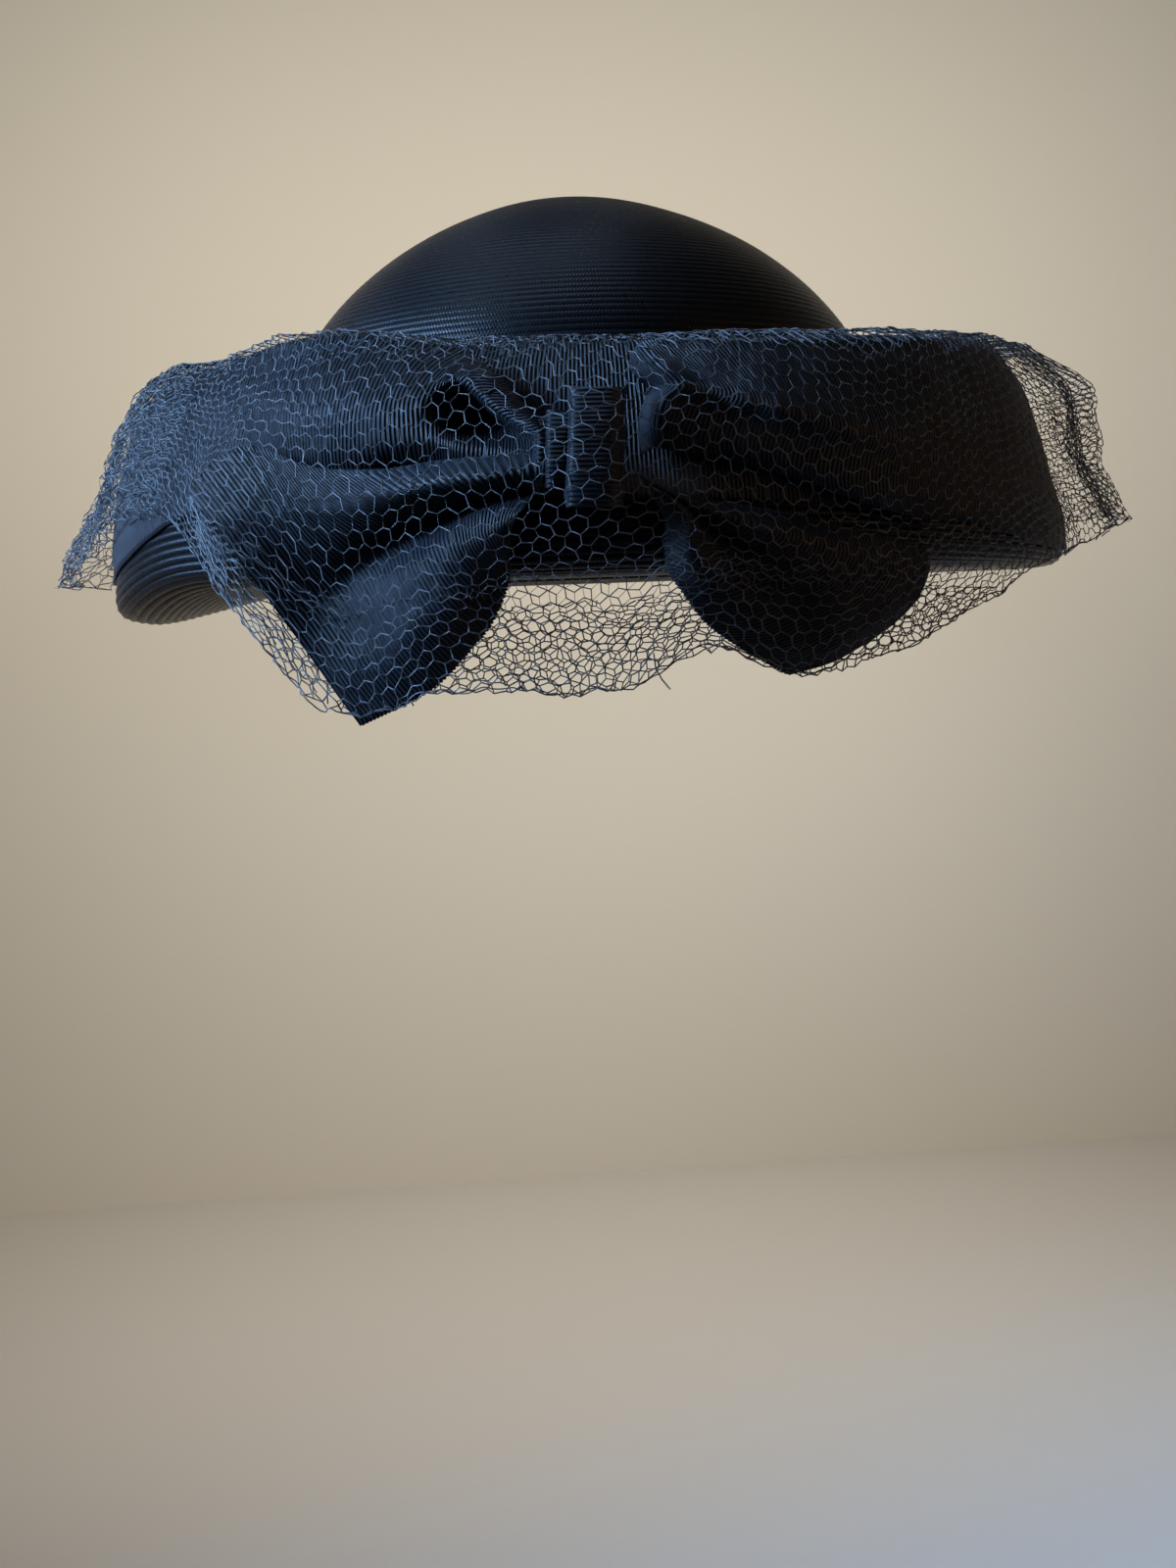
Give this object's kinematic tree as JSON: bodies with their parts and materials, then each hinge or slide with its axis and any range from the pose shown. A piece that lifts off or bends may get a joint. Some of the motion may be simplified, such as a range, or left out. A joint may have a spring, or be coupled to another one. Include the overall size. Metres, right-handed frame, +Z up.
{
  "type": "saucer hat with ribbon bow and veil",
  "caption": "Straw hat with a low round crown and a saucer brim turned up into a tall wall, faced with wide ribbon, with a ribbon bow and a net veil in front.",
  "frame": {"origin": "middle of the head opening, level with the brim's flat part", "axes": "+Z up through the crown, the front with the bow towards -Y, +X towards the wearer's left"},
  "size_m": [0.3562, 0.3389, 0.161],
  "materials": {
    "straw": "glossy braided straw, sewn in rows",
    "ribbon": "ribbed silk ribbon with a soft sheen",
    "net": "open six-sided netting of stiff thread"
  },
  "bodies": {
    "root": {"crown": "straw", "brim": "straw", "brim_band": "ribbon", "bow_loop_left": "ribbon", "bow_loop_right": "ribbon", "bow_tail_left": "ribbon", "bow_tail_right": "ribbon", "bow_knot": "ribbon", "veil": "net"}
  },
  "joints": []
}
